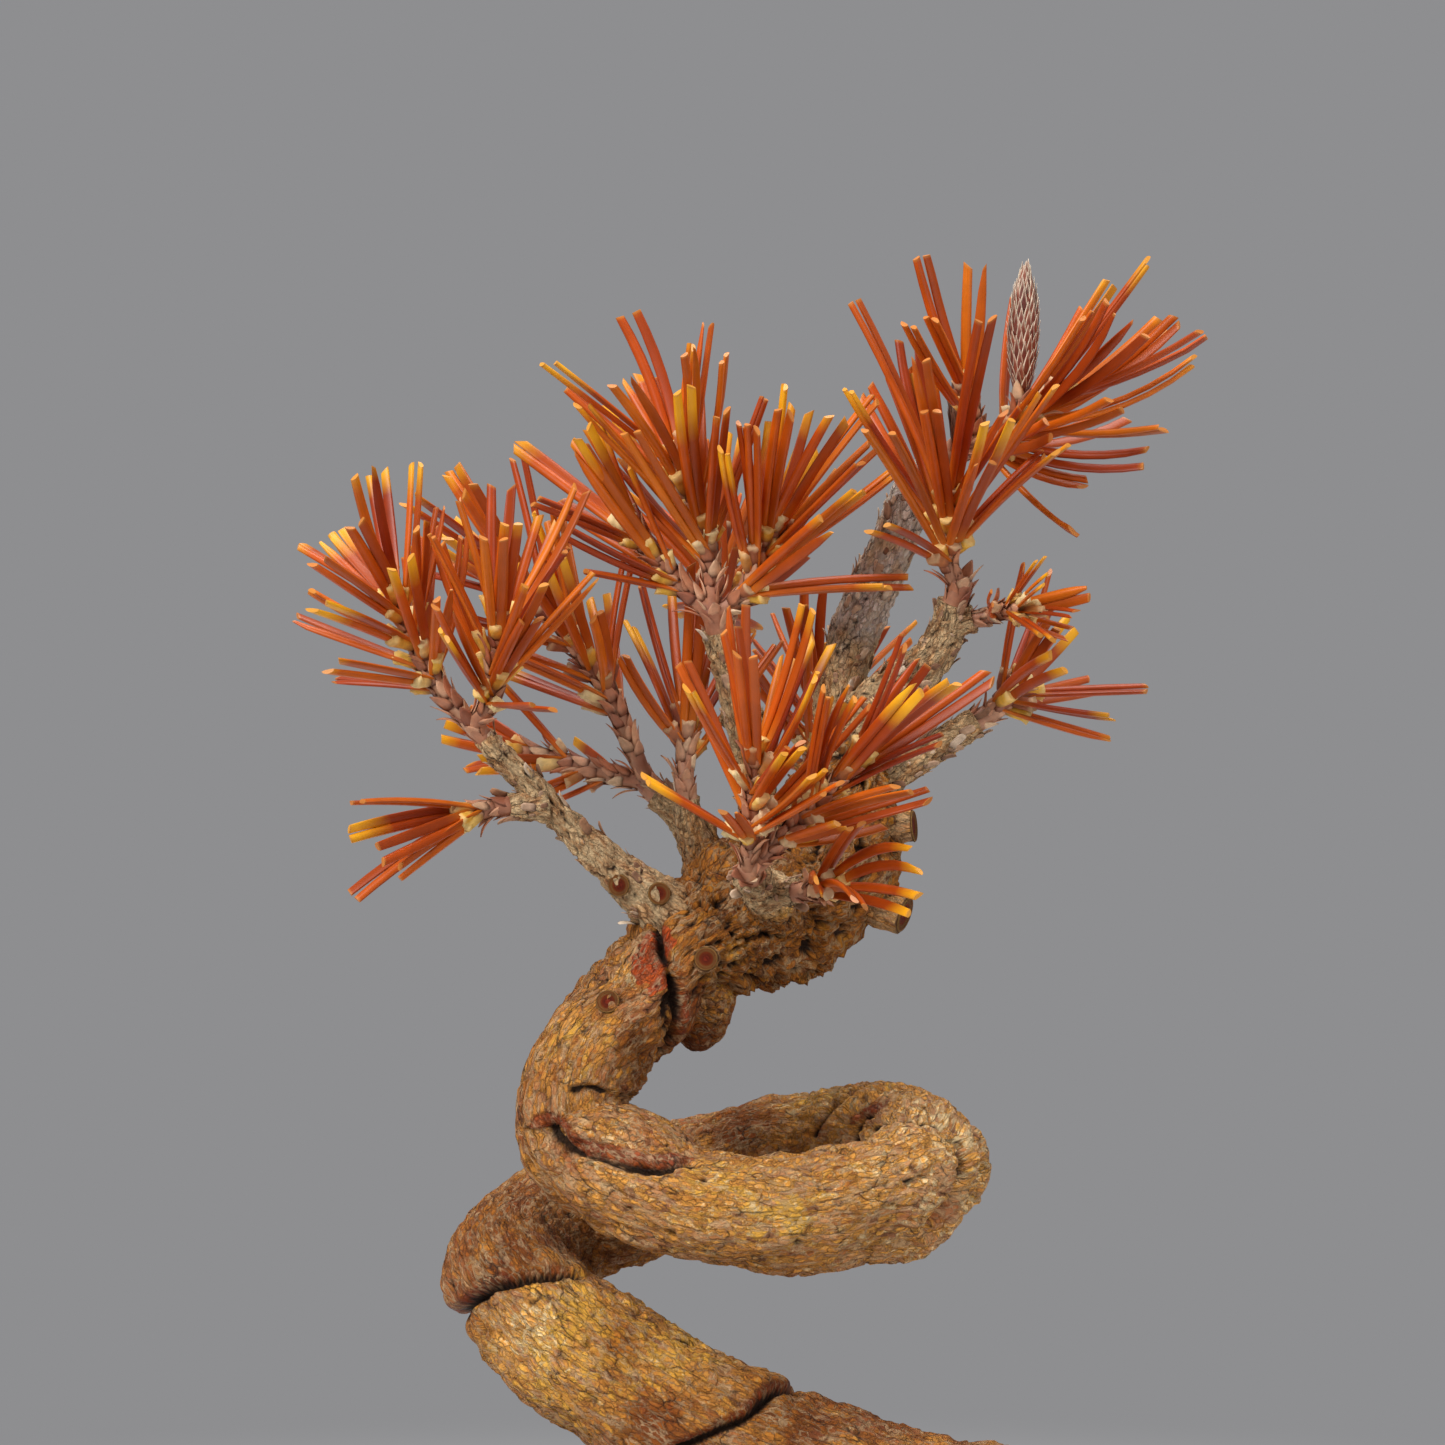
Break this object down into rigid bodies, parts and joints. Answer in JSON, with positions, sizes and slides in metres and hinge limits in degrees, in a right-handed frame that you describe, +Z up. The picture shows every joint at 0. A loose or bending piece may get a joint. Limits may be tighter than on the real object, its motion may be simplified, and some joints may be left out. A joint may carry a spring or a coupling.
{
  "type": "japanese black pine bonsai",
  "caption": "Small coiled-trunk black pine bonsai with sprays of clipped autumn-coloured needles, standing in soil in a round unglazed pot on feet.",
  "frame": {"origin": "under the middle of the tree and its pot, on the surface that the pot's feet stand on", "axes": "+Z up, the front of the tree faces -Y, +X to the right as seen from the front"},
  "size_m": [0.1145, 0.0964, 0.2152],
  "materials": {
    "clay": "unglazed red-brown stoneware, matt, with faint throwing rings",
    "net": "black moulded plastic net",
    "soil": "dry granules of fired clay, pumice and lava",
    "bark": "flaky orange-brown bark with dark fissures and pale ochre patches",
    "needles": "waxy orange-red needles with yellow tips, paired in papery sheaths",
    "bud_scales": "papery silver-brown fringed scales"
  },
  "bodies": {
    "root": {"bud": "bud_scales", "drain_screen": "net", "pot": "clay", "soil": "soil", "spray_apex": "needles", "spray_back": "needles", "spray_centre": "needles", "spray_centre_back": "needles", "spray_fore": "needles", "spray_front": "needles", "spray_inner": "needles", "spray_left": "needles", "spray_low": "needles", "spray_middle": "needles", "spray_right": "needles", "spray_side": "needles", "spray_upper": "needles", "wood": "bark"}
  },
  "joints": []
}
